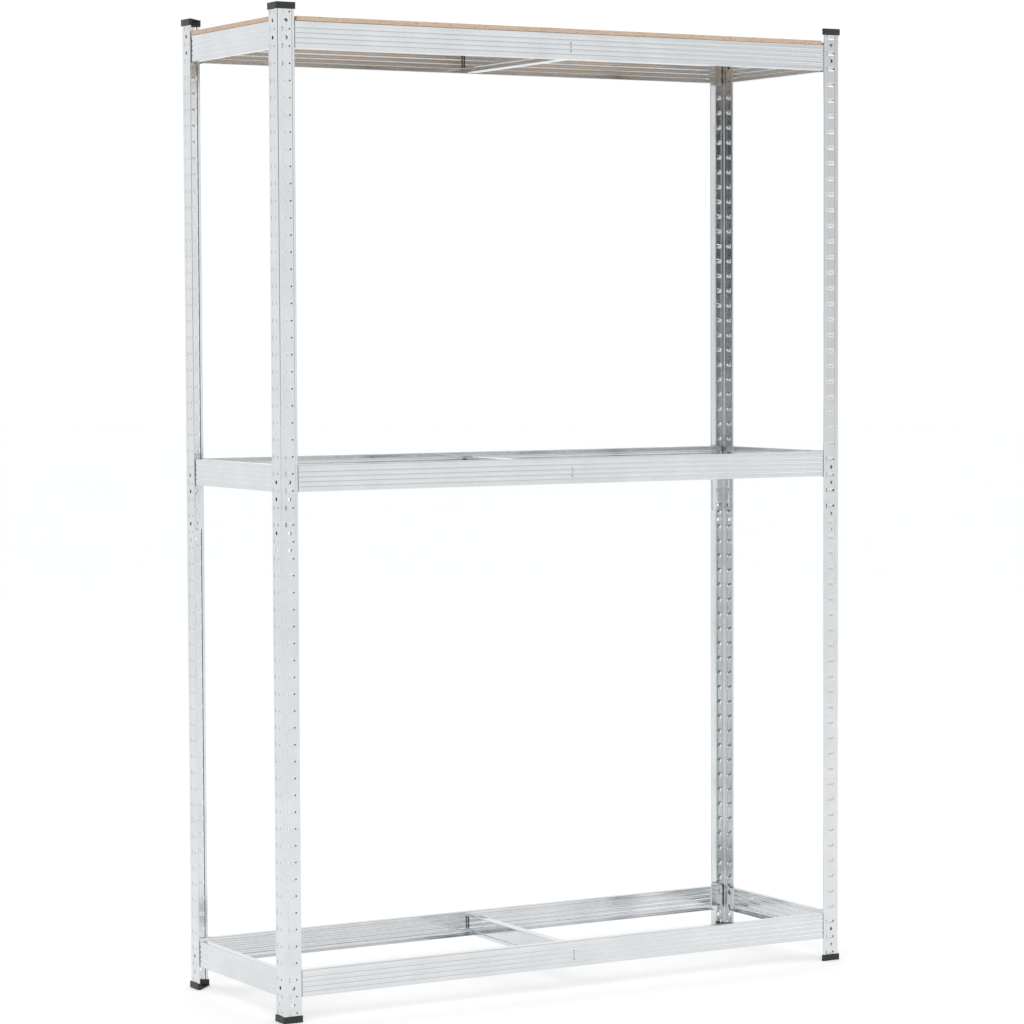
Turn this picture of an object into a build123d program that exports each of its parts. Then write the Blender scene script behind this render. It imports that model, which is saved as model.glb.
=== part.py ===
"""Boltless galvanised tyre rack.

Four two-part angle posts carry three levels of hooked beams. The two lower levels are open
frames that tyres stand in, and the top level carries a loose board. All lengths are in
millimetres. +X is the rack's width, +Y runs from its front to its back and +Z is up, with the
origin on the floor at the middle of the rack.
"""

import os

from build123d import *

# Whole rack
WIDTH = 1200.0
DEPTH = 400.0
SECTION_HEIGHT = 900.0
FOOT_BASE = 2.0

# Angle post: a thin folded sheet with a sunk band down each leg and an open hem at each free
# edge. The hem's return reaches much further in on one leg than on the other.
LEG = 35.0
POST_SHEET = 1.0
HEM_DEPTH = 3.5
WIDE_HEM_EDGE = 20.5
NARROW_HEM_EDGE = 29.6
BAND_START = 9.8
BAND_END = 29.2
BAND_DEPTH = 0.6
CORNER_BEND = 2.0
HEM_BEND = 0.7

# Pattern punched down each leg at one pitch: a pressed bar, a hook slot and a small round hole
PITCH = 30.0
BAR_HEIGHT = 8.0
BAR_LENGTH = 14.4
BAR_DEPTH = 0.5
SLOT_WIDTH = 1.6
BOLT_HOLE = 3.5
BOLT_INSET = 18.0
HOLE_REACH = 2.4
# The pattern runs one way round the corner, so it isn't mirrored between the two legs:
# (leg's plane, inward sign, slot centre, bar centre, small hole's centre and radius)
LEGS = (
    (Plane.XZ, -1, 11.0, 19.6, 25.0, 1.5),
    (Plane.YZ, 1, 28.0, 17.8, 12.2, 2.2),
)

# Splice angle inside each post joint
SPLICE_HEIGHT = 82.0
SPLICE_SHEET = 1.2
SPLICE_FACE = HEM_DEPTH + 0.1
SPLICE_END = 32.5
SPLICE_BEND = 1.0
SPLICE_HOLE_OFFSET = 30.0
SPLICE_HOLE_REACH = 8.0
TAB_OFFSET = 15.0
TAB_LENGTH = 11.0
TAB_HEIGHT = 20.0
TAB_DEPTH = 1.0

# Plastic foot and cap: an L-shaped sleeve on a base that is cut off straight between its ends
SHOE_HEIGHT = 12.0
SHOE_WALL = 1.5
SHOE_FIT = 0.1
SHOE_CORNER = 1.6

# Beam: a ribbed channel whose ends step inward past the post's hem and hook into its slots
BEAM_HEIGHT = 48.0
BEAM_DEPTH = 15.0
BEAM_SHEET = 1.0
BEAM_SETBACK = 1.0
GROOVE_DEPTH = 0.8
GROOVE_PITCH = 8.8
# Gaps between the channel and the posts' legs at its two ends, on a long and on a side beam
LONG_BEAM_GAPS = (1.0, 1.0)
SIDE_BEAM_GAPS = (7.5, 1.0)
TONGUE_FACE = HEM_DEPTH + 0.1
TONGUE_END = 10.2
TONGUE_BOTTOM = -1.4
TONGUE_TOP = 46.6
HOOK_HEIGHT = 6.0
HOOK_SHEET = 1.2
HOOK_WINDOW = 6.4
HOOKS = (-1.4, -1.4 + PITCH)
# Bottom of each level's beams above the post's lower end
LEVELS = {"bottom": 42.5, "middle": 942.5, "top": 1722.5}

# Slot at mid length of a long beam, and the tie bar that hooks into it
TIE_SLOT_BOTTOM = 13.0
TIE_SLOT_HEIGHT = 18.0
TIE_SLOT_WIDTH = 2.0
TIE_SLOT_FOOT = 4.0
TIE_LEFT = -6.0
TIE_WIDTH = 17.0
TIE_HEIGHT = 38.5
TIE_CREASE = 8.5
TIE_END = DEPTH / 2 - 3.0

# Loose top board
BOARD_THICKNESS = 8.0
BOARD_NOTCH = 39.6
BOARD_NOSE = 10.6


def strip_outline(path, thickness):
    """Closed outline of a folded sheet: the path, then the same path offset to its left."""
    points = [Vector(*point) for point in path]
    runs = list(zip(points, points[1:]))
    normals = [(end - start).normalized().rotate(Axis.Z, 90) for start, end in runs]
    back = []
    for index, point in enumerate(points):
        mitre = normals[max(index - 1, 0)] + normals[min(index, len(normals) - 1)]
        back.append(point + mitre * (2 * thickness / mitre.length**2))
    return points + back[::-1]


def folded_section(path, thickness, bends):
    """Draw a folded sheet's section in the open sketch, with its bends rounded.

    bends lists (corner, offset corner's step, inner radius) for each right-angle fold.
    """
    Polygon(*strip_outline(path, thickness), align=None)
    for corner, step, inner_radius in bends:
        outer = Vector(*corner)
        inner = outer + Vector(*step) * thickness
        fillet(vertices().sort_by_distance(outer)[0], inner_radius + thickness)
        fillet(vertices().sort_by_distance(inner)[0], inner_radius)


def press_panels(plane, side, face, sheet, depth, centres, length, height):
    """Press panels into a sheet of the open part: a pad inside, a pocket outside."""
    with BuildSketch(plane.offset(side * (face + sheet))) as pads:
        with Locations(*centres):
            Rectangle(length + 0.8, height + 0.8)
    extrude(pads.sketch, amount=side * depth)
    with BuildSketch(plane.offset(side * face)) as pockets:
        with Locations(*centres):
            Rectangle(length, height)
    extrude(pockets.sketch, amount=side * depth, mode=Mode.SUBTRACT)


def write_piece(shape, plane, name):
    """Stand a finished shape on a plane as a piece of its own, and write it."""
    with BuildPart() as piece:
        with Locations(plane.location):
            add(shape, clean=False)
    piece.part.label = name
    export_step(piece.part, f"parts/{name}.step")


os.makedirs("parts", exist_ok=True)

# Each corner's plane has its origin on the post's outer corner, with +Z up and the post's two
# legs along its own +X and +Y, so the same post section turns a quarter from corner to corner.
CORNERS = {
    "front_left": Plane((-WIDTH / 2, -DEPTH / 2, 0), x_dir=(1, 0, 0)),
    "front_right": Plane((WIDTH / 2, -DEPTH / 2, 0), x_dir=(0, 1, 0)),
    "rear_right": Plane((WIDTH / 2, DEPTH / 2, 0), x_dir=(-1, 0, 0)),
    "rear_left": Plane((-WIDTH / 2, DEPTH / 2, 0), x_dir=(0, -1, 0)),
}

# Post section ---------------------------------------------------------------------------------
def leg_profile(hem_edge):
    """Outer side of one leg's section, from the corner out to its hem and back."""
    return [
        (BAND_START - BAND_DEPTH, 0),
        (BAND_START, BAND_DEPTH),
        (BAND_END, BAND_DEPTH),
        (BAND_END + BAND_DEPTH, 0),
        (LEG, 0),
        (LEG, HEM_DEPTH),
        (hem_edge, HEM_DEPTH),
    ]


narrow_leg = [(y, x) for x, y in reversed(leg_profile(NARROW_HEM_EDGE))]
post_path = narrow_leg + [(0, 0)] + leg_profile(WIDE_HEM_EDGE)
bar_heights = [PITCH / 2 + PITCH * step for step in range(int(SECTION_HEIGHT / PITCH))]
bolt_heights = [PITCH, 2 * PITCH, SECTION_HEIGHT - 2 * PITCH, SECTION_HEIGHT - PITCH]

with BuildPart() as post_section:
    with BuildSketch():
        folded_section(
            post_path,
            POST_SHEET,
            [
                ((0, 0), (1, 1), CORNER_BEND),
                ((LEG, 0), (-1, 1), HEM_BEND),
                ((LEG, HEM_DEPTH), (-1, -1), HEM_BEND),
                ((0, LEG), (1, -1), HEM_BEND),
                ((HEM_DEPTH, LEG), (-1, -1), HEM_BEND),
            ],
        )
    extrude(amount=SECTION_HEIGHT)
    for leg, side, slot_x, bar_x, pin_x, pin_radius in LEGS:
        bars = [(bar_x, z) for z in bar_heights]
        press_panels(leg, side, BAND_DEPTH, POST_SHEET, BAR_DEPTH, bars, BAR_LENGTH, BAR_HEIGHT)
        with BuildSketch(leg):
            with Locations(*[(slot_x, z) for z in bar_heights]):
                Rectangle(SLOT_WIDTH, BAR_HEIGHT)
            with Locations(*[(pin_x, z) for z in bar_heights]):
                Circle(pin_radius)
            with Locations(*[(BOLT_INSET, z) for z in bolt_heights]):
                Circle(BOLT_HOLE)
        extrude(amount=side * HOLE_REACH, mode=Mode.SUBTRACT)

# Splice angle ---------------------------------------------------------------------------------
splice_half = SPLICE_HEIGHT / 2
splice_path = [(SPLICE_FACE, SPLICE_END), (SPLICE_FACE, SPLICE_FACE), (SPLICE_END, SPLICE_FACE)]

with BuildPart() as splice:
    with BuildSketch(Plane.XY.offset(-splice_half)):
        folded_section(
            splice_path, SPLICE_SHEET, [((SPLICE_FACE, SPLICE_FACE), (1, 1), SPLICE_BEND)]
        )
    extrude(amount=SPLICE_HEIGHT)
    for leg, side, *_ in LEGS:
        tabs = [(BOLT_INSET, -TAB_OFFSET), (BOLT_INSET, TAB_OFFSET)]
        press_panels(
            leg, side, SPLICE_FACE, SPLICE_SHEET, TAB_DEPTH, tabs, TAB_LENGTH, TAB_HEIGHT
        )
        with BuildSketch(leg):
            with Locations((BOLT_INSET, -SPLICE_HOLE_OFFSET), (BOLT_INSET, SPLICE_HOLE_OFFSET)):
                Circle(BOLT_HOLE)
        extrude(amount=side * SPLICE_HOLE_REACH, mode=Mode.SUBTRACT)

# Plastic shoe: the same moulding is the foot and, turned over, the cap ---------------------------
def sleeve_outline(margin):
    """Outline of the post's two hemmed legs, grown outwards by a margin."""
    low, high, inner = -margin, LEG + margin, HEM_DEPTH + margin
    return [(low, low), (high, low), (high, inner), (inner, inner), (inner, high), (low, high)]


outer_outline = sleeve_outline(SHOE_FIT + SHOE_WALL)
# The base leaves out the sleeve's inner corner, the fourth point
base_outline = outer_outline[:3] + outer_outline[4:]

with BuildPart() as shoe:
    for outline, height in ((base_outline, FOOT_BASE), (outer_outline, SHOE_HEIGHT)):
        with BuildSketch(Plane.XY.offset(-FOOT_BASE)):
            Polygon(*outline, align=None)
            fillet(vertices(), SHOE_CORNER)
        extrude(amount=height)
    with BuildSketch():
        Polygon(*sleeve_outline(SHOE_FIT), align=None)
    extrude(amount=SHOE_HEIGHT, mode=Mode.SUBTRACT)
    chamfer(shoe.faces().sort_by(Axis.Z)[0].edges(), 0.6)
    fillet(shoe.faces().sort_by(Axis.Z)[-1].outer_wire().edges(), 0.5)

# Beams ----------------------------------------------------------------------------------------
# A beam lies along its own +X between the outer corners of two posts, its outer side facing -Y
groove_centres = [BEAM_HEIGHT / 2 + GROOVE_PITCH * step for step in (1.5, 0.5, -0.5, -1.5)]
flange_edge = BEAM_SETBACK + BEAM_DEPTH
beam_path = [(flange_edge, BEAM_HEIGHT), (BEAM_SETBACK, BEAM_HEIGHT)]
for centre in groove_centres:
    beam_path += [
        (BEAM_SETBACK, centre + 2.2),
        (BEAM_SETBACK + GROOVE_DEPTH, centre + 1.2),
        (BEAM_SETBACK + GROOVE_DEPTH, centre - 1.2),
        (BEAM_SETBACK, centre - 2.2),
    ]
beam_path += [(BEAM_SETBACK, 0), (flange_edge, 0)]
beam_bends = [
    ((BEAM_SETBACK, BEAM_HEIGHT), (1, -1), 0.8),
    ((BEAM_SETBACK, 0), (1, 1), 0.8),
]


def box_between(low, high, mode=Mode.ADD):
    """A box in the open part between two opposite corners."""
    size = [high[axis] - low[axis] for axis in range(3)]
    with Locations(low):
        Box(*size, align=(Align.MIN, Align.MIN, Align.MIN), mode=mode)


def beam_body(length, gaps):
    """Ribbed channel, stepped end tongues and hooks of a beam, in the open part."""
    channel_start = LEG + gaps[0]
    channel_end = length - LEG - gaps[1]
    with BuildSketch(Plane.YZ.offset(channel_start)) as channel:
        folded_section(beam_path, BEAM_SHEET, beam_bends)
    extrude(channel.sketch, amount=channel_end - channel_start)
    tongue_inner = TONGUE_FACE + BEAM_SHEET
    last_wall = channel_end - BEAM_SHEET
    # Each end: its step wall's start, its tongue's start and end, and its hooks' start
    ends = (
        (channel_start, TONGUE_END, channel_start + BEAM_SHEET, LEGS[0][2] - HOOK_SHEET / 2),
        (last_wall, last_wall, length - TONGUE_END, length - LEGS[1][2] - HOOK_SHEET / 2),
    )
    for wall_x, tongue_start, tongue_end, hook_x in ends:
        box_between(
            (wall_x, BEAM_SETBACK, 0.8),
            (wall_x + BEAM_SHEET, tongue_inner, BEAM_HEIGHT - 0.8),
        )
        box_between(
            (tongue_start, TONGUE_FACE, TONGUE_BOTTOM),
            (tongue_end, tongue_inner, TONGUE_TOP),
        )
        for hook_z in HOOKS:
            window_x = hook_x + HOOK_SHEET
            box_between(
                (window_x, TONGUE_FACE, hook_z + 0.8),
                (window_x + HOOK_WINDOW, tongue_inner, hook_z + HOOK_HEIGHT + 0.8),
                mode=Mode.SUBTRACT,
            )
            box_between(
                (hook_x, BAND_DEPTH + 0.2, hook_z),
                (hook_x + HOOK_SHEET, TONGUE_FACE, hook_z + HOOK_HEIGHT),
            )


with BuildPart() as long_beam:
    beam_body(WIDTH, LONG_BEAM_GAPS)
    slot_top = TIE_SLOT_BOTTOM + TIE_SLOT_HEIGHT
    with BuildSketch(Plane.XZ):
        with Locations((WIDTH / 2, (TIE_SLOT_BOTTOM + slot_top) / 2)):
            Rectangle(TIE_SLOT_WIDTH, TIE_SLOT_HEIGHT)
        foot_x = WIDTH / 2 + TIE_SLOT_WIDTH / 2 - TIE_SLOT_FOOT / 2
        with Locations((foot_x, TIE_SLOT_BOTTOM + 1), (foot_x, slot_top - 1)):
            Rectangle(TIE_SLOT_FOOT, TIE_SLOT_WIDTH)
    extrude(amount=-4, mode=Mode.SUBTRACT)

with BuildPart() as side_beam:
    beam_body(DEPTH, SIDE_BEAM_GAPS)

# Tie bar between the front and rear beams, at mid width ------------------------------------------
tie_right = TIE_LEFT + TIE_WIDTH
tie_top = BEAM_SHEET + TIE_HEIGHT
crease = BEAM_SHEET + TIE_CREASE
tie_path = [
    (tie_right, tie_top),
    (TIE_LEFT, tie_top),
    (TIE_LEFT, crease + 1.0),
    (TIE_LEFT + 0.6, crease),
    (TIE_LEFT, crease - 1.0),
    (TIE_LEFT, BEAM_SHEET),
    (tie_right, BEAM_SHEET),
]
tie_bends = [((TIE_LEFT, tie_top), (1, -1), 0.8), ((TIE_LEFT, BEAM_SHEET), (1, 1), 0.8)]
lug_bottom = TIE_SLOT_BOTTOM + 1.0
lug_top = TIE_SLOT_BOTTOM + TIE_SLOT_HEIGHT - 1.0

with BuildPart() as tie_bar:
    with BuildSketch(Plane.XZ.offset(TIE_END)):
        folded_section(tie_path, BEAM_SHEET, tie_bends)
    extrude(amount=-2 * TIE_END)
    box_between((TIE_LEFT + 0.2, -TIE_END, 12), (6, BEAM_SHEET - TIE_END, 36))
    box_between((-0.6, 1.2 - DEPTH / 2, lug_bottom), (0.6, -TIE_END, lug_top))
    mirror(about=Plane.XZ)

# Loose top board ------------------------------------------------------------------------------
board_x = WIDTH / 2 - BEAM_SETBACK
board_y = DEPTH / 2 - BEAM_SETBACK
notch_x = WIDTH / 2 - BOARD_NOTCH
notch_y = DEPTH / 2 - BOARD_NOTCH
nose_x = WIDTH / 2 - BOARD_NOSE
nose_y = DEPTH / 2 - BOARD_NOSE
board_bottom = FOOT_BASE + LEVELS["top"] + BEAM_HEIGHT

with BuildPart() as top_board:
    with BuildSketch(Plane.XY.offset(board_bottom)) as board_outline:
        with BuildLine():
            Polyline((0, board_y), (notch_x, board_y), (notch_x, nose_y), (nose_x, notch_y),
                     (board_x, notch_y), (board_x, 0), (0, 0), close=True)
        make_face()
        mirror(about=Plane.YZ)
        mirror(about=Plane.XZ)
    extrude(amount=BOARD_THICKNESS)
    chamfer(top_board.faces().filter_by(Axis.Z).edges(), 0.4)
top_board.part.label = "top_board"
export_step(top_board.part, "parts/top_board.step")

# Repeated pieces in their places --------------------------------------------------------------
top_end = FOOT_BASE + 2 * SECTION_HEIGHT
for corner, plane in CORNERS.items():
    # A cap is the shoe turned over about the post's diagonal, which swaps its two legs
    turned_over = Plane(plane.offset(top_end).origin, x_dir=plane.y_dir, z_dir=(0, 0, -1))
    write_piece(shoe.part, plane.offset(FOOT_BASE), f"foot_{corner}")
    write_piece(shoe.part, turned_over, f"cap_{corner}")
    write_piece(post_section.part, plane.offset(FOOT_BASE), f"post_{corner}_lower")
    write_piece(post_section.part, plane.offset(FOOT_BASE + SECTION_HEIGHT), f"post_{corner}_upper")
    write_piece(splice.part, plane.offset(FOOT_BASE + SECTION_HEIGHT), f"splice_{corner}")

BEAM_SIDES = {
    "front": (long_beam, "front_left"),
    "right": (side_beam, "front_right"),
    "rear": (long_beam, "rear_right"),
    "left": (side_beam, "rear_left"),
}
for level, height in LEVELS.items():
    for side_name, (beam, corner) in BEAM_SIDES.items():
        plane = CORNERS[corner].offset(FOOT_BASE + height)
        write_piece(beam.part, plane, f"beam_{side_name}_{level}")
    write_piece(tie_bar.part, Plane.XY.offset(FOOT_BASE + height), f"tie_bar_{level}")
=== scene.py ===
import cmath
import math

import bmesh
import bpy
import numpy as np
from mathutils import Matrix, Vector
from mathutils.geometry import delaunay_2d_cdt


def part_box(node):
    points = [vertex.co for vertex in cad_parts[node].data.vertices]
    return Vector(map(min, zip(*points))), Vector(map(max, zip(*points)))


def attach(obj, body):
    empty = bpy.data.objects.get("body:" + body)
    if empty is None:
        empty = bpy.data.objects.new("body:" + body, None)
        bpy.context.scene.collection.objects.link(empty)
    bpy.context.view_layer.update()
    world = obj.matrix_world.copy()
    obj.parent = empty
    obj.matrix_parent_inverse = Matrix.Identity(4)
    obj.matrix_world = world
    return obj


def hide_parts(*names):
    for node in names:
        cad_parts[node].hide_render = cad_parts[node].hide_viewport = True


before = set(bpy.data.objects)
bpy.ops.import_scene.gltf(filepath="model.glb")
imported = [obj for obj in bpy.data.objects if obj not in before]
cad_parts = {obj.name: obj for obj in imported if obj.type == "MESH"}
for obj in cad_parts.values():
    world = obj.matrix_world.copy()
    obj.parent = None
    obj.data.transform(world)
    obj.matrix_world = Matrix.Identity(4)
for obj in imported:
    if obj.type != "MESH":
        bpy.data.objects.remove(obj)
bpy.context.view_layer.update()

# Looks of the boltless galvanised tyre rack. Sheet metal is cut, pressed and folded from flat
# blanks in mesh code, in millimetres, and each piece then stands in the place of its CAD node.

MM = 0.001
CORNERS = ("front_left", "front_right", "rear_right", "rear_left")
LEVELS = ("bottom", "middle", "top")

# Mesh detail: the longest step round a bend, the angle between faces from which their edge is
# sharp, and the rings drawn through a pressed panel's wall, as shares of the wall's width
BEND_STEP = math.radians(18)
SHARP_ANGLE = math.radians(32)
PRESS_RINGS = (-0.05, 0.0, 0.1, 0.3, 0.5, 0.75, 1.0)

# Angle post. Its section is drawn along its outer side, and a bend is that line's radius.
SECTION_HEIGHT = 900.0
LEG = 35.0
POST_SHEET = 1.0
HEM_DEPTH = 3.5
BAND_START = 9.8
BAND_END = 29.2
BAND_DEPTH = 0.6
BAND_BEND = 0.8
CORNER_BEND = 3.0
HEM_BEND = 1.7
PITCH = 30.0
BAR = (14.4, 8.0)
BAR_CORNER = 1.6
BAR_DEPTH = 0.6
BAR_WALL = 3.9
SLOT = (1.6, 8.0)
SLOT_CORNER = 0.3
BOLT_HOLE = 3.5
BOLT_INSET = 18.0
# Of each leg, from the corner: slot centre, bar centre, small hole's centre and radius, and the
# edge of the hem's return
LEG_X = (11.0, 19.6, 25.0, 1.5, 20.5)
LEG_Y = (28.0, 17.8, 12.2, 2.2, 29.6)

# Splice angle
SPLICE_HEIGHT = 82.0
SPLICE_SHEET = 1.2
SPLICE_FACE = 3.6
SPLICE_BEND = 2.2
SPLICE_END = 32.5
SPLICE_CORNER = 2.0
# Pressed tab's size, corner radius, depth and wall width
SPLICE_TAB = ((11.0, 20.0), 3.5, 1.0, 1.6)

# Beam
BEAM_HEIGHT = 48.0
BEAM_SHEET = 1.0
BEAM_FACE = 1.0
BEAM_EDGE = 16.0
LONG_BEAM_GAPS = (1.0, 1.0)
SIDE_BEAM_GAPS = (7.5, 1.0)
BEAM_BEND = 1.8
GROOVE_PITCH = 8.8
GROOVE_DEPTH = 0.8
GROOVE_MOUTH = 4.4
GROOVE_FLOOR = 2.4
GROOVE_BEND = 1.7
# The step wall at a beam's end lies a little inside the channel
WALL_SETBACK = 0.6
WALL_INSET = 0.9
TONGUE_BEND = 1.2
TONGUE_CORNER = 2.0
SHOULDER_BACK = 2.0
SHOULDER_WIDTH = 3.0
TONGUE_MIDDLE = 4.1
TONGUE_END = 10.2
TONGUE_BOTTOM = -1.4
TONGUE_TOP = 46.6
HOOK_SHEET = 1.2
HOOK_EDGE = 0.25
HOOK_HEIGHT = 6.0
# A hook's outline (depth, height), and the heights of the two hooks' lower ends
HOOK_CLAW = ((4.3, 0.0), (2.0, 0.0), (0.8, 1.4), (0.8, 5.0), (1.8, 6.0), (4.3, 6.0))
HOOK_PLACES = (-1.4, 28.6)
HOOK_WINDOW = 6.4
HOOK_WINDOW_RISE = 0.8
HOOK_WINDOW_CORNER = 0.8

# Tie bar, and the slot in a long beam that its lug stands in
TIE_WEB = -6.0
TIE_EDGE = 11.0
TIE_TOP = 39.5
TIE_CREASE = 9.5
TIE_CREASE_HALF = 1.2
TIE_CREASE_DEPTH = 0.6
TIE_CREASE_BEND = 0.7
TIE_CREASE_EDGE_BEND = 1.6
TIE_GAP = 3.0
TIE_TAB_FOLD = 6.0
TIE_TAB_BEND = 1.0
TIE_TAB_MIDDLE = 24.0
TIE_TAB_HEIGHT = 24.0
TIE_TAB_CORNER = 2.5
TIE_TAB_REACH = 6.0
LUG_LOW = 14.0
LUG_HIGH = 30.0
LUG_SHEET = 1.2
LUG_REACH = 1.8
LUG_EDGE = 0.3
TIE_SLOT_LOW = 13.0
TIE_SLOT_HIGH = 31.0
TIE_SLOT_HALF = 1.0
TIE_SLOT_FOOT = 3.0
TIE_SLOT_FOOT_HEIGHT = 2.0

# Plastic shoe
SHOE_LOW = -1.6
SHOE_HIGH = 36.6
SHOE_INNER = 5.1
SHOE_WALL = 1.5
SHOE_CORNER = 1.6
SHOE_TIP = 2.0
SHOE_NOOK = 0.5
SHOE_LEAST_BEND = 0.3
SHOE_BASE = 2.0
SHOE_HEIGHT = 12.0

# Loose board: where its cut-off corners start, measured from its own sides
BOARD_NOTCH = 38.6
BOARD_NOSE = 9.6
BOARD_EDGE = 0.5

# Studio
FLOOR_RADIUS = 40.0
FLOOR_GLOW = 0.25
# The surround's brightness from the horizon (0) up to straight overhead (1)
HEIGHT_LEVELS = ((0.0, 1.03), (0.5, 1.0), (0.7, 0.82), (0.87, 0.62), (1.0, 0.7))
# Direction of the dark photographer, the cosines between which it fades in, and its level
PHOTOGRAPHER = (-0.498, -0.867, 0.0)
PHOTOGRAPHER_EDGE = (0.9, 0.975)
PHOTOGRAPHER_LEVEL = 0.12
# Bearing of the dim screen, the angles off it between which it fades out, and its level
SCREEN_BEARING = -0.87
SCREEN_EDGE = (0.08, 0.16)
SCREEN_LEVEL = 0.72
# The camera's place in metres, then its yaw, pitch and roll in degrees
CAMERA_PLACE = (-3.2121, -5.5606, 1.2252)
CAMERA_TURNS = (-29.896, -3.045, 0.25)
CAMERA_LENS = 118.97
CAMERA_SENSOR = 36.0


# Flat blanks ------------------------------------------------------------------------------------
def rounded_path(corners, steps=None):
    """Points of an open path through corners (x, y, bend radius), with each bend rounded."""
    points = [complex(*corner[:2]) for corner in corners]
    path = [points[0]]
    for index in range(1, len(points) - 1):
        arrive = points[index] - points[index - 1]
        arrive /= abs(arrive)
        turn = cmath.phase((points[index + 1] - points[index]) / arrive)
        radius = corners[index][2]
        start = points[index] - arrive * radius * math.tan(abs(turn) / 2)
        centre = start + arrive * radius * (1j if turn > 0 else -1j)
        count = steps or max(2, math.ceil(abs(turn) / BEND_STEP))
        path += [
            centre + (start - centre) * cmath.exp(1j * turn * step / count)
            for step in range(count + 1)
        ]
    path.append(points[-1])
    return np.array(path)


def run_lengths(path):
    """Distance along the path to each of its points."""
    return np.concatenate([[0.0], np.cumsum(np.abs(np.diff(path)))])


def along(path, x, y):
    """Distance along the path to its nearest point to (x, y)."""
    lengths = run_lengths(path)
    runs = np.diff(path)
    share = ((complex(x, y) - path[:-1]) / runs).real.clip(0, 1)
    nearest = np.abs(path[:-1] + share * runs - complex(x, y)).argmin()
    return lengths[nearest] + share[nearest] * abs(runs[nearest])


def rounded_rectangle(centre, size, radius, grow=0.0, steps=3):
    """Closed outline of a rectangle with rounded corners, grown outwards by a margin."""
    radius = max(radius + grow, 0.05)
    half = [side / 2 + grow - radius for side in size]
    outline = []
    for quarter, (across, up) in enumerate(((1, 1), (-1, 1), (-1, -1), (1, -1))):
        for step in range(steps + 1):
            angle = math.pi / 2 * (quarter + step / steps)
            outline.append(
                (
                    centre[0] + across * half[0] + radius * math.cos(angle),
                    centre[1] + up * half[1] + radius * math.sin(angle),
                )
            )
    return outline


def circle(centre, radius, count=16):
    """Closed outline of a circle."""
    turns = [2 * math.pi * (step + 0.5) / count for step in range(count)]
    return [
        (centre[0] + radius * math.cos(turn), centre[1] + radius * math.sin(turn))
        for turn in turns
    ]


def inside(points, outline):
    """Which points lie inside a closed outline, by counting crossings."""
    outline = np.array(outline)
    crossed = np.zeros(len(points), bool)
    for (x0, y0), (x1, y1) in zip(outline, np.roll(outline, -1, axis=0)):
        if y0 == y1:
            continue
        spans = (points[:, 1] < y0) != (points[:, 1] < y1)
        cut = x0 + (points[:, 1] - y0) / (y1 - y0) * (x1 - x0)
        crossed ^= spans & (points[:, 0] < cut)
    return crossed


def press_depth(points, press):
    """Depth of a pressed panel at each flat point: steepest at its outline, level inside."""
    centre, size, radius, depth, wall = press
    reach = np.abs(points - centre) - (np.array(size) / 2 - radius)
    outside = np.linalg.norm(reach.clip(0, None), axis=1)
    edge = outside + reach.max(axis=1).clip(None, 0) - radius
    share = (-edge / wall).clip(0, 1)
    return depth * share * (2 - share)


def cut_sheet(path, outline, holes=(), presses=()):
    """Vertices and triangles of a folded sheet's outer skin.

    The blank is laid out flat, with the distance along the path across and the length up. The
    outline and holes are closed outlines on it. A press is (centre, size, corner radius, depth,
    wall width). Vertices come back as (path x, path y, length).
    """
    lengths = run_lengths(path)
    low, high = np.min(outline, axis=0), np.max(outline, axis=0)
    vertices, edges = [], []

    def draw(points, closed=True):
        first = len(vertices)
        vertices.extend(Vector(point) for point in points)
        edges.extend((first + i, first + i + 1) for i in range(len(points) - 1))
        if closed:
            edges.append((len(vertices) - 1, first))

    draw(outline)
    for length in lengths[1:-1]:
        draw([(length, low[1]), (length, high[1])], closed=False)
    for hole in holes:
        draw(hole)
    for centre, size, radius, _, wall in presses:
        for share in PRESS_RINGS:
            draw(rounded_rectangle(centre, size, radius, grow=-share * wall))
    flat, _, faces, *_ = delaunay_2d_cdt(vertices, edges, [], 0, 1e-5)
    flat = np.array([point[:] for point in flat])
    faces = np.array(faces)
    middles = flat[faces].mean(axis=1)
    kept = inside(middles, outline)
    for hole in holes:
        box_low, box_high = np.min(hole, axis=0), np.max(hole, axis=0)
        near = np.flatnonzero(((middles > box_low) & (middles < box_high)).all(axis=1))
        kept[near[inside(middles[near], hole)]] = False
    faces = faces[kept]
    used, faces = np.unique(faces, return_inverse=True)
    faces = faces.reshape(-1, 3)
    flat = flat[used]

    run = np.searchsorted(lengths, flat[:, 0], side="right").clip(1, len(lengths) - 1) - 1
    direction = np.diff(path) / np.diff(lengths)
    place = path[run] + direction[run] * (flat[:, 0] - lengths[run])
    depth = np.zeros(len(flat))
    for press in presses:
        near = (np.abs(flat - press[0]) < press[1]).all(axis=1)
        depth[near] = np.maximum(depth[near], press_depth(flat[near], press))
    place = place + 1j * direction[run] * depth
    return np.column_stack([place.real, place.imag, flat[:, 1]]), faces


# Meshes -----------------------------------------------------------------------------------------
def mesh_from(name, parts, turn=None):
    """Mesh of several (vertices, faces) parts in millimetres, turned by a matrix's rows."""
    vertices, faces = [], []
    for part_vertices, part_faces in parts:
        first = sum(len(block) for block in vertices)
        vertices.append(np.asarray(part_vertices, float))
        faces += [[first + int(index) for index in face] for face in part_faces]
    vertices = np.concatenate(vertices)
    if turn is not None:
        vertices = vertices @ np.array(turn, float).T
    mesh = bpy.data.meshes.new(name)
    mesh.from_pydata((vertices * MM).tolist(), [], faces)
    mesh.update()
    return mesh


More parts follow.
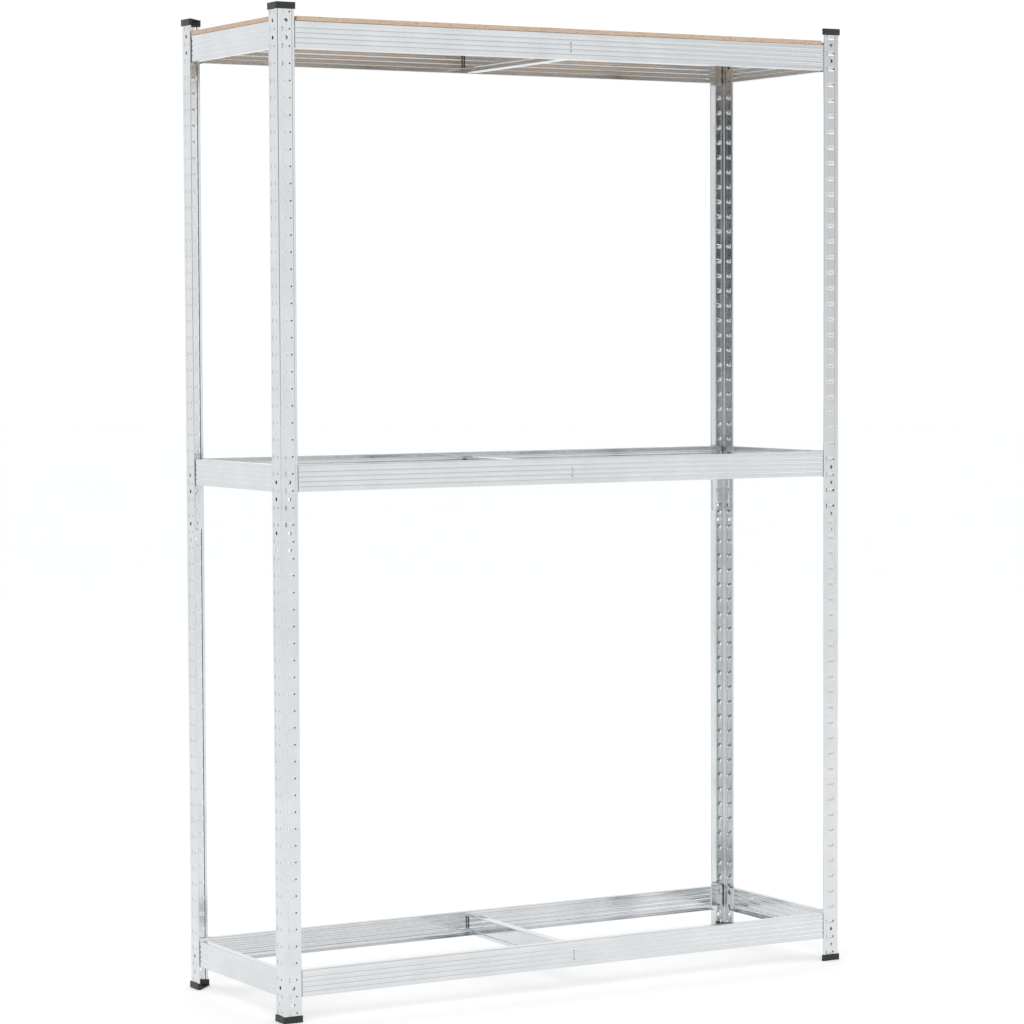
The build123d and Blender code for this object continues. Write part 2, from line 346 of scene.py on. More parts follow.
def with_modifiers(mesh, *settings):
    """A new mesh with modifiers applied to it, each given as (type, {property: value})."""
    holder = bpy.data.objects.new("holder", mesh)
    bpy.context.scene.collection.objects.link(holder)
    for kind, values in settings:
        modifier = holder.modifiers.new(kind.lower(), kind)
        for name, value in values.items():
            setattr(modifier, name, value)
    bpy.context.view_layer.update()
    made = bpy.data.meshes.new_from_object(
        holder.evaluated_get(bpy.context.evaluated_depsgraph_get())
    )
    bpy.data.objects.remove(holder)
    return made


def joined(name, meshes):
    """One mesh that holds several, with smooth faces that break at sharp edges."""
    form = bmesh.new()
    for mesh in meshes:
        form.from_mesh(mesh)
    whole = bpy.data.meshes.new(name)
    form.to_mesh(whole)
    form.free()
    for material in meshes[0].materials:
        whole.materials.append(material)
    whole.shade_smooth()
    whole.set_sharp_from_angle(angle=SHARP_ANGLE)
    return with_modifiers(whole, ("WEIGHTED_NORMAL", {"keep_sharp": True, "weight": 60}))


def thickened(mesh, thickness, offset=-1.0):
    """Closed sheet grown from a skin. Its cut edges take the second material."""
    settings = {
        "thickness": thickness * MM,
        "offset": offset,
        "use_even_offset": True,
        "material_offset_rim": 1,
    }
    for material in (zinc, cut_edge):
        mesh.materials.append(material)
    return with_modifiers(mesh, ("SOLIDIFY", settings))


def plate(outline, thickness, bevel):
    """Closed flat plate of an outline in the XY plane, its edges rounded."""
    form = bmesh.new()
    low = [form.verts.new((x * MM, y * MM, -thickness / 2 * MM)) for x, y in outline]
    face = form.faces.new(low)
    grown = bmesh.ops.extrude_face_region(form, geom=[face])
    for item in grown["geom"]:
        if isinstance(item, bmesh.types.BMVert):
            item.co.z += thickness * MM
    bmesh.ops.recalc_face_normals(form, faces=form.faces)
    bmesh.ops.bevel(
        form,
        geom=form.edges[:],
        offset=bevel * MM,
        segments=2,
        profile=0.5,
        affect="EDGES",
    )
    mesh = bpy.data.meshes.new("plate")
    form.to_mesh(mesh)
    form.free()
    return mesh


def moved(mesh, rows, origin):
    """The mesh turned by a matrix's rows and moved to an origin in millimetres."""
    matrix = Matrix([[*row, place * MM] for row, place in zip(rows, origin)] + [[0, 0, 0, 1]])
    mesh.transform(matrix)
    if matrix.determinant() < 0:
        mesh.flip_normals()
    return mesh


# Materials --------------------------------------------------------------------------------------
class Shader:
    """A procedural material, built node by node."""

    def __init__(self, name):
        self.material = bpy.data.materials.new(name)
        self.material.use_nodes = True
        self.tree = self.material.node_tree
        self.surface = self.tree.nodes["Principled BSDF"]

    def add(self, kind, inputs, **settings):
        """Adds a node. inputs maps its socket names or numbers to values or sockets."""
        node = self.tree.nodes.new("ShaderNode" + kind)
        for name, value in settings.items():
            setattr(node, name, value)
        self.set(node, inputs)
        return node

    def set(self, node, inputs):
        """Links or sets the node's inputs."""
        for name, value in inputs.items():
            if isinstance(value, bpy.types.NodeSocket):
                self.tree.links.new(value, node.inputs[name])
            else:
                node.inputs[name].default_value = value

    def place(self, scale=(1, 1, 1), wander=0.0):
        """Coordinates in the piece's own space, scaled, and shifted from piece to piece."""
        coordinates = self.add("TexCoord", {}).outputs["Object"]
        if wander:
            chance = self.add("ObjectInfo", {}).outputs["Random"]
            shift = self.add("Math", {0: chance, 1: wander}, operation="MULTIPLY")
            coordinates = self.add(
                "VectorMath", {0: coordinates, 1: shift.outputs[0]}, operation="ADD"
            ).outputs[0]
        return self.add(
            "VectorMath", {0: coordinates, 1: scale}, operation="MULTIPLY"
        ).outputs[0]

    def noise(self, coordinates, scale, detail=3.0, roughness=0.5):
        """Height of a noise pattern, from 0 to 1."""
        inputs = {"Vector": coordinates, "Scale": scale, "Detail": detail, "Roughness": roughness}
        return self.add("TexNoise", inputs).outputs["Fac"]

    def spread(self, value, low, high, start=0.0, end=1.0):
        """Maps a value from start-end to low-high, held at both ends."""
        inputs = {"Value": value, "From Min": start, "From Max": end, "To Min": low, "To Max": high}
        return self.add("MapRange", inputs).outputs["Result"]

    def mix(self, share, first, second, blend="MIX"):
        """Mixes two colours."""
        node = self.add("Mix", {}, data_type="RGBA", blend_type=blend)
        for name, value in (("Factor_Float", share), ("A_Color", first), ("B_Color", second)):
            socket = next(item for item in node.inputs if item.identifier == name)
            if isinstance(value, bpy.types.NodeSocket):
                self.tree.links.new(value, socket)
            else:
                socket.default_value = value
        return next(item for item in node.outputs if item.identifier == "Result_Color")

    def bump(self, height, distance, strength=1.0, normal=None):
        """Normal of a bumped surface, its height in metres."""
        inputs = {"Height": height, "Distance": distance, "Strength": strength}
        if normal is not None:
            inputs["Normal"] = normal
        return self.add("Bump", inputs).outputs["Normal"]


def grey(level, tint=(1.0, 1.0, 1.0)):
    """Opaque colour of one brightness, slightly tinted."""
    return tuple(level * share for share in tint) + (1.0,)


def zinc_material(name, bright, dull, base_roughness):
    """Hot-dip zinc on rolled sheet: faint crystals, milky clouds and drawing lines."""
    shader = Shader(name)
    place = shader.place(wander=9.0)
    drawn = shader.place(scale=(1, 1, 0.012), wander=9.0)
    clouds = shader.noise(place, 14.0, detail=4.0)
    streaks = shader.noise(drawn, 1500.0, detail=2.0)
    crystals = shader.add("TexVoronoi", {"Vector": place, "Scale": 230.0})
    crystal = shader.add("SeparateColor", {"Color": crystals.outputs["Color"]}).outputs["Red"]
    tone = shader.spread(clouds, 0.15, 0.85, 0.3, 0.7)
    colour = shader.mix(tone, bright, dull)
    colour = shader.mix(shader.spread(crystal, 0.0, 0.08), colour, grey(0.5))
    colour = shader.mix(shader.spread(streaks, 0.0, 0.1, 0.35, 0.75), colour, grey(0.92))
    rough = shader.add(
        "Math",
        {0: shader.spread(clouds, -0.05, 0.09, 0.3, 0.7), 1: shader.spread(streaks, -0.03, 0.03)},
        operation="ADD",
    ).outputs[0]
    rough = shader.add(
        "Math", {0: rough, 1: shader.spread(crystal, -0.02, 0.03)}, operation="ADD"
    ).outputs[0]
    rough = shader.add("Math", {0: rough, 1: base_roughness}, operation="ADD").outputs[0]
    waves = shader.noise(shader.place(scale=(1, 1, 0.35), wander=9.0), 10.0, detail=1.0)
    normal = shader.bump(waves, 0.0005)
    normal = shader.bump(streaks, 0.000002, normal=normal)
    normal = shader.bump(crystal, 0.000003, normal=normal)
    shader.set(
        shader.surface,
        {"Base Color": colour, "Metallic": 1.0, "Roughness": rough, "Normal": normal},
    )
    return shader.material


def plastic_material():
    """Satin black moulded plastic with a fine grain and dull scuffs."""
    shader = Shader("black_plastic")
    place = shader.place(wander=5.0)
    grain = shader.noise(place, 2600.0, detail=2.0)
    scuffs = shader.noise(shader.place(scale=(1, 1, 2.5), wander=5.0), 120.0, detail=6.0)
    worn = shader.spread(scuffs, 0.0, 1.0, 0.55, 0.75)
    colour = shader.mix(worn, grey(0.012, (1.0, 1.02, 1.06)), grey(0.032))
    rough = shader.spread(scuffs, 0.36, 0.55, 0.3, 0.75)
    normal = shader.bump(grain, 0.00004)
    shader.set(shader.surface, {"Base Color": colour, "Roughness": rough, "Normal": normal})
    return shader.material


def board_material():
    """Raw particle board: flat pale chips on its faces and open, darker grain on its edges."""
    shader = Shader("particle_board")
    place = shader.place()
    chips = shader.add("TexVoronoi", {"Vector": shader.place(scale=(1, 1.8, 3)), "Scale": 210.0})
    chip = shader.add("SeparateColor", {"Color": chips.outputs["Color"]})
    fine = shader.noise(place, 700.0, detail=4.0, roughness=0.65)
    patches = shader.noise(place, 9.0, detail=3.0)
    pale, tan, brown = (0.66, 0.50, 0.37, 1), (0.57, 0.42, 0.30, 1), (0.38, 0.26, 0.17, 1)
    colour = shader.mix(chip.outputs["Red"], pale, tan)
    dark_chip = shader.spread(chip.outputs["Green"], 0.0, 0.8, 0.86, 0.97)
    colour = shader.mix(dark_chip, colour, brown)
    colour = shader.mix(shader.spread(fine, 0.0, 0.55, 0.45, 0.75), colour, brown)
    colour = shader.mix(shader.spread(patches, 0.0, 0.25, 0.35, 0.7), colour, pale)
    rough = shader.spread(fine, 0.62, 0.85)
    normal = shader.bump(chip.outputs["Blue"], 0.00008)
    normal = shader.bump(fine, 0.00025, normal=normal)
    shader.set(shader.surface, {"Base Color": colour, "Roughness": rough, "Normal": normal})
    return shader.material


def floor_material():
    """Plain pale studio floor."""
    shader = Shader("studio_floor")
    mottle = shader.noise(shader.place(), 1.5, detail=5.0)
    colour = shader.mix(mottle, grey(0.90), grey(0.93))
    glow = {"Emission Color": grey(1.0), "Emission Strength": FLOOR_GLOW}
    shader.set(shader.surface, {"Base Color": colour, "Roughness": 0.8, **glow})
    return shader.material


zinc = zinc_material("zinc", grey(0.76, (0.975, 1.0, 1.02)), grey(0.68, (0.975, 1.0, 1.02)), 0.12)
cut_edge = zinc_material("zinc_cut_edge", grey(0.55), grey(0.45), 0.38)
# Near-black zinc for the hem return's inner face: painted shade where the hem cavity lies in shadow
hem_painted_shade = zinc_material("zinc_hem_painted_shade", grey(0.06), grey(0.03), 0.5)
plastic = plastic_material()
board = board_material()


# Post section -----------------------------------------------------------------------------------
def post_path():
    """Section of the post's outer side, from one hem round the corner to the other."""
    leg = [
        (BAND_START - BAND_DEPTH, 0, BAND_BEND),
        (BAND_START, BAND_DEPTH, BAND_BEND),
        (BAND_END, BAND_DEPTH, BAND_BEND),
        (BAND_END + BAND_DEPTH, 0, BAND_BEND),
        (LEG, 0, HEM_BEND),
        (LEG, HEM_DEPTH, HEM_BEND),
    ]
    other = [(LEG_Y[-1], HEM_DEPTH, 0)] + leg[::-1]
    other = [(y, x, radius) for x, y, radius in other]
    return rounded_path(other + [(0, 0, CORNER_BEND)] + leg + [(LEG_X[-1], HEM_DEPTH, 0)])


def paint_hem_shade(sheet):
    """Paints shade: gives a near-black material to the hem return's inner face, which the small
    holes look onto, in place of the shade inside the narrow hem cavity.
    """
    sheet.materials.append(hem_painted_shade)
    last_slot = len(sheet.materials) - 1
    inner_face, nearly = HEM_DEPTH - POST_SHEET, 0.1
    for face in sheet.polygons:
        for depth, reach in (face.center.xy / MM, face.center.yx / MM):
            if abs(depth - inner_face) < nearly and LEG_X[-1] < reach < LEG - HEM_BEND:
                face.material_index = last_slot


def post_mesh():
    """One post section, standing on its lower end with its outer corner on the Z axis."""
    path = post_path()
    end = run_lengths(path)[-1]
    outline = [(0, 0), (end, 0), (end, SECTION_HEIGHT), (0, SECTION_HEIGHT)]
    bar_heights = [PITCH * (step + 0.5) for step in range(int(SECTION_HEIGHT / PITCH))]
    bolt_heights = [PITCH, 2 * PITCH, SECTION_HEIGHT - 2 * PITCH, SECTION_HEIGHT - PITCH]
    holes, presses = [], []
    for swap, (*places, pin_radius, _) in ((False, LEG_X), (True, LEG_Y)):
        slot, bar, pin, bolt = [
            along(path, BAND_DEPTH, place) if swap else along(path, place, BAND_DEPTH)
            for place in (*places, BOLT_INSET)
        ]
        for height in bar_heights:
            presses.append(((bar, height), BAR, BAR_CORNER, BAR_DEPTH, BAR_WALL))
            holes.append(rounded_rectangle((slot, height), SLOT, SLOT_CORNER))
            holes.append(circle((pin, height), pin_radius))
        holes += [circle((bolt, height), BOLT_HOLE, 24) for height in bolt_heights]
    skin = mesh_from("post", [cut_sheet(path, outline, holes, presses)])
    sheet = thickened(skin, POST_SHEET)
    paint_hem_shade(sheet)
    return joined("post_section", [sheet])


def splice_mesh():
    """One splice angle, centred on the post joint."""
    path = rounded_path(
        [
            (SPLICE_FACE, SPLICE_END, 0),
            (SPLICE_FACE, SPLICE_FACE, SPLICE_BEND),
            (SPLICE_END, SPLICE_FACE, 0),
        ]
    )
    end = run_lengths(path)[-1]
    outline = rounded_rectangle((end / 2, 0), (end, SPLICE_HEIGHT), SPLICE_CORNER)
    holes, presses = [], []
    for x, y in ((BOLT_INSET, SPLICE_FACE), (SPLICE_FACE, BOLT_INSET)):
        centre = along(path, x, y)
        for side in (-1, 1):
            presses.append(((centre, side * PITCH / 2), *SPLICE_TAB))
            holes.append(circle((centre, side * PITCH), BOLT_HOLE, 24))
    skin = mesh_from("splice", [cut_sheet(path, outline, holes, presses)])
    return joined("splice_angle", [thickened(skin, SPLICE_SHEET)])


# Beams ------------------------------------------------------------------------------------------
# A beam's mesh has the beam's length along Z, its depth along X and its height along Y
LENGTH_UP = ((0, 1, 0), (0, 0, 1), (1, 0, 0))


def beam_path():
    """Section of the beam's outer side, from its top flange down its ribbed web."""
    bottom = BEAM_FACE + GROOVE_DEPTH
    corners = [(BEAM_EDGE, BEAM_HEIGHT, 0), (BEAM_FACE, BEAM_HEIGHT, BEAM_BEND)]
    for step in (1.5, 0.5, -0.5, -1.5):
        centre = BEAM_HEIGHT / 2 + GROOVE_PITCH * step
        corners += [
            (BEAM_FACE, centre + GROOVE_MOUTH / 2, GROOVE_BEND),
            (bottom, centre + GROOVE_FLOOR / 2, GROOVE_BEND),
            (bottom, centre - GROOVE_FLOOR / 2, GROOVE_BEND),
            (BEAM_FACE, centre - GROOVE_MOUTH / 2, GROOVE_BEND),
        ]
    return rounded_path(corners + [(BEAM_FACE, 0, BEAM_BEND), (BEAM_EDGE, 0, 0)])


def beam_web(first, last, slot_middle=None):
    """Ribbed channel between its two ends, with the tie bar's slot if it has one."""
    path = beam_path()
    end = run_lengths(path)[-1]
    outline = [(0, first), (end, first), (end, last), (0, last)]
    holes = []
    if slot_middle:
        heights = (
            TIE_SLOT_HIGH,
            TIE_SLOT_HIGH - TIE_SLOT_FOOT_HEIGHT,
            TIE_SLOT_LOW + TIE_SLOT_FOOT_HEIGHT,
            TIE_SLOT_LOW,
        )
        high, high_foot, low_foot, low = [along(path, BEAM_FACE, height) for height in heights]
        right, left = slot_middle + TIE_SLOT_HALF, slot_middle - TIE_SLOT_HALF
        foot = slot_middle - TIE_SLOT_FOOT
        slot = [(high, right), (low, right), (low, foot), (low_foot, foot)]
        slot += [(low_foot, left), (high_foot, left), (high_foot, foot), (high, foot)]
        holes.append(slot)
    return thickened(mesh_from("web", [cut_sheet(path, outline, holes)]), BEAM_SHEET)


def beam_end(wall_x, tip_x, hook_x):
    """Step wall and tongue at one end of a beam, with two windows and the hooks turned out."""
    corners = [
        (wall_x, BEAM_FACE + WALL_SETBACK, 0),
        (wall_x, TONGUE_MIDDLE, TONGUE_BEND),
        (tip_x, TONGUE_MIDDLE, 0),
    ]
    path = rounded_path(corners)
    end = run_lengths(path)[-1]
    shoulder = along(path, wall_x, TONGUE_MIDDLE - SHOULDER_BACK)
    tongue = shoulder + SHOULDER_WIDTH
    outline = [
        (0, WALL_INSET),
        (shoulder, WALL_INSET),
        (tongue, TONGUE_BOTTOM),
        (end - TONGUE_CORNER, TONGUE_BOTTOM),
        (end, TONGUE_BOTTOM + TONGUE_CORNER),
        (end, TONGUE_TOP - TONGUE_CORNER),
        (end - TONGUE_CORNER, TONGUE_TOP),
        (tongue, TONGUE_TOP),
        (shoulder, BEAM_HEIGHT - WALL_INSET),
        (0, BEAM_HEIGHT - WALL_INSET),
    ]
    window_x = hook_x + HOOK_SHEET + HOOK_WINDOW / 2
    window = along(path, window_x, TONGUE_MIDDLE)
    size = (HOOK_WINDOW, HOOK_HEIGHT)
    window_rise = HOOK_HEIGHT / 2 + HOOK_WINDOW_RISE
    holes = [
        rounded_rectangle((window, hook_z + window_rise), size, HOOK_WINDOW_CORNER)
        for hook_z in HOOK_PLACES
    ]
    skin = mesh_from("tongue", [cut_sheet(path, outline, holes)])
    meshes = [thickened(skin, BEAM_SHEET, offset=0.0)]
    for hook_z in HOOK_PLACES:
        hook = plate(HOOK_CLAW, HOOK_SHEET, HOOK_EDGE)
        hook.materials.append(zinc)
        rows = ((0, 0, 1), (1, 0, 0), (0, 1, 0))
        meshes.append(moved(hook, rows, (hook_x + HOOK_SHEET / 2, 0, hook_z)))
    return [moved(mesh, LENGTH_UP, (0, 0, 0)) for mesh in meshes]


def beam_mesh(name, length, gaps, slot_middle=None):
    """Whole beam between two posts' outer corners, which are 0 and length along Z."""
    first, last = LEG + gaps[0], length - LEG - gaps[1]
    half_sheet = BEAM_SHEET / 2
    ends = (
        (first + half_sheet, TONGUE_END, LEG_X[0] - HOOK_SHEET / 2),
        (last - half_sheet, length - TONGUE_END, length - LEG_Y[0] - HOOK_SHEET / 2),
    )
    meshes = [beam_web(first, last, slot_middle)]
    for end in ends:
        meshes += beam_end(*end)
    return joined(name, meshes)


def tie_mesh(depth):
    """Tie bar between the long beams, its length along Z, its width along X and height along Y."""
    half = depth / 2 - TIE_GAP
    corners = [
        (TIE_EDGE, TIE_TOP, 0),
        (TIE_WEB, TIE_TOP, BEAM_BEND),
        (TIE_WEB, TIE_CREASE + TIE_CREASE_HALF, TIE_CREASE_EDGE_BEND),
        (TIE_WEB + TIE_CREASE_DEPTH, TIE_CREASE, TIE_CREASE_BEND),
        (TIE_WEB, TIE_CREASE - TIE_CREASE_HALF, TIE_CREASE_EDGE_BEND),
        (TIE_WEB, BEAM_SHEET, BEAM_BEND),
        (TIE_EDGE, BEAM_SHEET, 0),
    ]
    path = rounded_path(corners)
    end = run_lengths(path)[-1]
    outline = [(0, -half), (end, -half), (end, half), (0, half)]
    meshes = [thickened(mesh_from("tie", [cut_sheet(path, outline)]), BEAM_SHEET)]
    half_sheet = BEAM_SHEET / 2
    for side in (-1, 1):
        tab_face = side * (half - half_sheet)
        corners = [
            (TIE_WEB + half_sheet, side * (half - TIE_TAB_FOLD), 0),
            (TIE_WEB + half_sheet, tab_face, TIE_TAB_BEND),
            (TIE_TAB_REACH, tab_face, 0),
        ]
        fold = rounded_path(corners)
        width = run_lengths(fold)[-1]
        middle, size = (width / 2, TIE_TAB_MIDDLE), (width, TIE_TAB_HEIGHT)
        blank = rounded_rectangle(middle, size, TIE_TAB_CORNER)
        tab = thickened(mesh_from("tab", [cut_sheet(fold, blank)]), BEAM_SHEET, offset=0.0)
        meshes.append(moved(tab, ((1, 0, 0), (0, 0, 1), (0, 1, 0)), (0, 0, 0)))
        across = LUG_SHEET / 2
        corners = [(-across, LUG_LOW), (across, LUG_LOW), (across, LUG_HIGH), (-across, LUG_HIGH)]
        lug = plate(corners, LUG_REACH, LUG_EDGE)
        lug.materials.append(zinc)
        lug.transform(Matrix.Translation((0, 0, side * (half + LUG_REACH / 2) * MM)))
        meshes.append(lug)
    return joined("tie_bar", meshes)


# Plastic shoe -----------------------------------------------------------------------------------
def shoe_outline(shrink, sleeve):
    """Outline of the shoe's base or L-shaped sleeve, drawn in by a margin."""
    low, high, inner = SHOE_LOW + shrink, SHOE_HIGH - shrink, SHOE_INNER - shrink
    corner = max(SHOE_CORNER - shrink, SHOE_LEAST_BEND)
    tip = max(SHOE_TIP - shrink, SHOE_LEAST_BEND)
    corners = [(high, low, tip), (high, inner, corner)]
    if sleeve:
        corners.append((inner, inner, SHOE_NOOK + shrink))
    corners += [(inner, high, corner), (low, high, tip), (low, low, corner)]
    start = ((low * 3 + high) / 4, low, 0)
    path = rounded_path([start, *corners, start], steps=5)
    return [(point.real, point.imag) for point in path[:-1]]


def loft(loops):
    """Vertices and faces of a closed form through loops of (outline, height)."""
    count = len(loops[0][0])
    vertices = [(x, y, height) for outline, height in loops for x, y in outline]
    faces = [list(range(count))[::-1]]
    for ring in range(len(loops) - 1):
        base = ring * count
        for index in range(count):
            following = (index + 1) % count
            faces.append(
                [base + index, base + following, base + count + following, base + count + index]
            )
    faces.append([(len(loops) - 1) * count + index for index in range(count)])
    return vertices, faces


def shoe_mesh():
    """Foot of a post, with the post's outer corner on the Z axis and the post's end at 0."""
    bottom, rim = -SHOE_BASE, SHOE_HEIGHT - SHOE_BASE
    # How far each ring is drawn in from the outline, and its height
    base_rings = (
        (0.6, bottom),
        (0.2, bottom + 0.2),
        (0.0, bottom + 0.7),
        (0.0, -0.4),
        (0.3, 0.0),
    )
    sleeve_rings = (
        (0.5, -1.0),
        (0.05, -0.1),
        (0.1, 4.0),
        (0.2, rim - 0.6),
        (0.32, rim - 0.2),
        (0.55, rim),
        (SHOE_WALL - 0.35, rim),
        (SHOE_WALL - 0.08, rim - 0.25),
        (SHOE_WALL, rim - 0.8),
        (SHOE_WALL, 0.3),
        (SHOE_WALL + 0.2, 0.05),
    )
    meshes = []
    for rings, sleeve in ((base_rings, False), (sleeve_rings, True)):
        loops = [(shoe_outline(shrink, sleeve), height) for shrink, height in rings]
        meshes.append(mesh_from("shoe", [loft(loops)]))
    for mesh in meshes:
        mesh.materials.append(plastic)
    return joined("shoe", meshes)


# Pieces in their places -------------------------------------------------------------------------
# Turns of a mesh: over, with its legs changing places, and from a length along Z to a length
# along X or along Y
TURNED_OVER = Matrix(((0, 1, 0, 0), (1, 0, 0, 0), (0, 0, -1, 0), (0, 0, 0, 1)))
ALONG_X = Matrix(((0, 0, 1, 0), (1, 0, 0, 0), (0, 1, 0, 0), (0, 0, 0, 1)))
ALONG_Y = Matrix(((1, 0, 0, 0), (0, 0, 1, 0), (0, 1, 0, 0), (0, 0, 0, 1)))


def put(name, mesh, matrix, node, body="frame"):
    """Stands a mesh in the place of a CAD node."""
    piece = bpy.data.objects.new(name, mesh)
    bpy.context.scene.collection.objects.link(piece)
    piece.matrix_world = matrix
    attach(piece, body)
    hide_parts(node)
    return piece


def corner_matrix(corner, height, flipped=False):
    """Frame of a post: its outer corner, with its legs along X and Y and Z up."""
    quarter = CORNERS.index(corner)
    low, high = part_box(f"post_{corner}_lower")
    x = low.x if corner.endswith("left") else high.x
    y = low.y if corner.startswith("front") else high.y
    matrix = Matrix.Translation((x, y, height)) @ Matrix.Rotation(quarter * math.pi / 2, 4, "Z")
    return matrix @ TURNED_OVER if flipped else matrix


section = post_mesh()
splice = splice_mesh()
shoe = shoe_mesh()
for corner in CORNERS:
    for half in ("lower", "upper"):
        node = f"post_{corner}_{half}"
        matrix = corner_matrix(corner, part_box(node)[0].z)
        put(f"{node}_sheet", section, matrix, node)
    joint = corner_matrix(corner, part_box(f"post_{corner}_lower")[1].z)
    put(f"splice_{corner}_sheet", splice, joint, f"splice_{corner}")
    foot = corner_matrix(corner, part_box(f"foot_{corner}")[0].z + SHOE_BASE * MM)
    put(f"foot_{corner}_moulding", shoe, foot, f"foot_{corner}")
    cap = corner_matrix(corner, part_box(f"cap_{corner}")[1].z - SHOE_BASE * MM, flipped=True)
    put(f"cap_{corner}_moulding", shoe, cap, f"cap_{corner}")

footprint = (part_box("post_rear_right_lower")[1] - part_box("post_front_left_lower")[0]) / MM
width, depth = footprint.x, footprint.y
long_beam = beam_mesh("long_beam", width, LONG_BEAM_GAPS, width / 2)
side_beam = beam_mesh("side_beam", depth, SIDE_BEAM_GAPS)
# Each side's beam, and the corner that it starts from
BEAM_SIDES = {
    "front": (long_beam, "front_left"),
    "right": (side_beam, "front_right"),
    "rear": (long_beam, "rear_right"),
    "left": (side_beam, "rear_left"),
}
tie = tie_mesh(depth)
for level in LEVELS:
    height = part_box(f"beam_front_{level}")[0].z - TONGUE_BOTTOM * MM
    for side, (beam, corner) in BEAM_SIDES.items():
        node = f"beam_{side}_{level}"
        matrix = corner_matrix(corner, height) @ ALONG_X
        put(f"{node}_channel", beam, matrix, node)
    matrix = Matrix.Translation((0, 0, height)) @ ALONG_Y
    put(f"tie_bar_{level}_channel", tie, matrix, f"tie_bar_{level}")


# Loose board ------------------------------------------------------------------------------------
def board_mesh(half):
    """Loose board of a half size, around its middle, with its corners cut off."""
    near_x, near_y = half.x - BOARD_NOTCH, half.y - BOARD_NOTCH
    far_x, far_y = half.x - BOARD_NOSE, half.y - BOARD_NOSE
    corner = [(half.x, near_y), (far_x, near_y), (near_x, far_y), (near_x, half.y)]
    outline = []
    for across, up in ((1, 1), (-1, 1), (-1, -1), (1, -1)):
        points = [(across * x, up * y) for x, y in corner]
        outline += points if across == up else points[::-1]
    mesh = plate(outline, 2 * half.z, BOARD_EDGE)
    mesh.materials.append(board)
    return joined("board", [mesh])


board_low, board_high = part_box("top_board")
put(
    "top_board_panel",
    board_mesh((board_high - board_low) / 2 / MM),
    Matrix.Translation((board_low + board_high) / 2),
    "top_board",
    body="board",
)


# Studio -----------------------------------------------------------------------------------------
def pale_floor():
    """Large round floor the rack stands on."""
    form = bmesh.new()
    bmesh.ops.create_circle(form, cap_ends=True, radius=FLOOR_RADIUS, segments=96)
    mesh = bpy.data.meshes.new("floor")
    form.to_mesh(mesh)
    form.free()
    mesh.materials.append(floor_material())
    floor = bpy.data.objects.new("floor", mesh)
    bpy.context.scene.collection.objects.link(floor)


def softbox(name, place, size, power, target=(0.0, 0.0, 0.9)):
    """Rectangular soft light that faces a target and isn't seen itself."""
    data = bpy.data.lights.new(name, "AREA")
    data.shape = "RECTANGLE"
    data.size, data.size_y = size
    data.energy = power
    light = bpy.data.objects.new(name, data)
    bpy.context.scene.collection.objects.link(light)
    light.location = place
    light.rotation_euler = (Vector(target) - Vector(place)).to_track_quat("-Z", "Y").to_euler()
    light.visible_camera = False


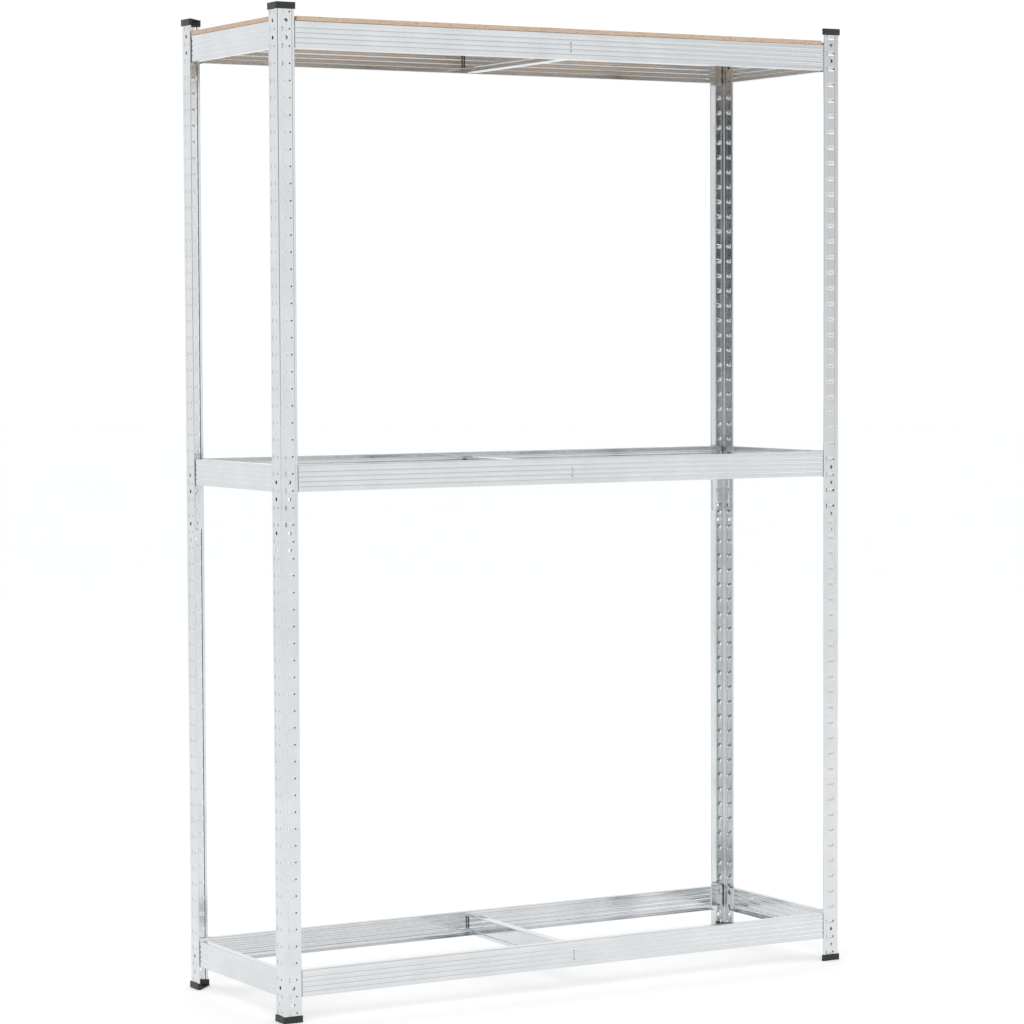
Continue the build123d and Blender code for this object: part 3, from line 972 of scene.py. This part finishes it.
def studio_world():
    """Pale surround, with a dark photographer and a dim screen for the zinc to reflect."""
    world = bpy.data.worlds.new("studio")
    bpy.context.scene.world = world
    world.use_nodes = True
    tree = world.node_tree
    nodes, links = tree.nodes, tree.links

    def math_node(operation, *values):
        node = nodes.new("ShaderNodeMath")
        node.operation = operation
        for socket, value in zip(node.inputs, values):
            if isinstance(value, bpy.types.NodeSocket):
                links.new(value, socket)
            else:
                socket.default_value = value
        return node.outputs["Value"]

    def smooth_step(value, start, end, low, high):
        node = nodes.new("ShaderNodeMapRange")
        node.interpolation_type = "SMOOTHSTEP"
        links.new(value, node.inputs["Value"])
        limits = {"From Min": start, "From Max": end, "To Min": low, "To Max": high}
        for name, limit in limits.items():
            node.inputs[name].default_value = limit
        return node.outputs["Result"]

    direction = nodes.new("ShaderNodeTexCoord").outputs["Generated"]
    axes = nodes.new("ShaderNodeSeparateXYZ")
    links.new(direction, axes.inputs[0])
    ramp = nodes.new("ShaderNodeValToRGB")
    ramp.color_ramp.interpolation = "EASE"
    while len(ramp.color_ramp.elements) < len(HEIGHT_LEVELS):
        ramp.color_ramp.elements.new(0.5)
    for element, (place, level) in zip(ramp.color_ramp.elements, HEIGHT_LEVELS):
        element.position = place
        element.color = grey(level, (0.985, 0.995, 1.0))
    links.new(axes.outputs["Z"], ramp.inputs["Fac"])
    facing = nodes.new("ShaderNodeVectorMath")
    facing.operation = "DOT_PRODUCT"
    facing.inputs[1].default_value = PHOTOGRAPHER
    links.new(direction, facing.inputs[0])
    toward = facing.outputs["Value"]
    photographer = smooth_step(toward, *PHOTOGRAPHER_EDGE, 1.0, PHOTOGRAPHER_LEVEL)
    bearing = math_node("ARCTAN2", axes.outputs["Y"], axes.outputs["X"])
    off_screen = math_node("ABSOLUTE", math_node("SUBTRACT", bearing, SCREEN_BEARING))
    screen = smooth_step(off_screen, *SCREEN_EDGE, SCREEN_LEVEL, 1.0)
    background = nodes["Background"]
    links.new(ramp.outputs["Color"], background.inputs["Color"])
    links.new(math_node("MULTIPLY", photographer, screen), background.inputs["Strength"])


def main_camera():
    """Camera of the product view: from the front left, at 1.2 m, looking slightly down."""
    yaw, pitch, roll = (math.radians(turn) for turn in CAMERA_TURNS)
    turn = (
        Matrix.Rotation(yaw, 4, "Z")
        @ Matrix.Rotation(pitch, 4, "X")
        @ Matrix.Rotation(roll, 4, "Y")
        @ Matrix.Rotation(math.pi / 2, 4, "X")
    )
    data = bpy.data.cameras.new("camera")
    data.sensor_width = CAMERA_SENSOR
    data.lens = CAMERA_LENS
    data.clip_end = 100.0
    camera = bpy.data.objects.new("camera", data)
    bpy.context.scene.collection.objects.link(camera)
    camera.matrix_world = Matrix.Translation(CAMERA_PLACE) @ turn
    bpy.context.scene.camera = camera


pale_floor()
studio_world()
softbox("key", (-3.0, -3.2, 4.2), (2.4, 1.6), 30.0)
softbox("fill", (3.6, -2.6, 3.4), (2.0, 2.0), 12.0)
softbox("back", (0.5, 3.8, 3.6), (3.0, 1.2), 12.0)
main_camera()
bpy.context.scene.view_settings.view_transform = "Standard"
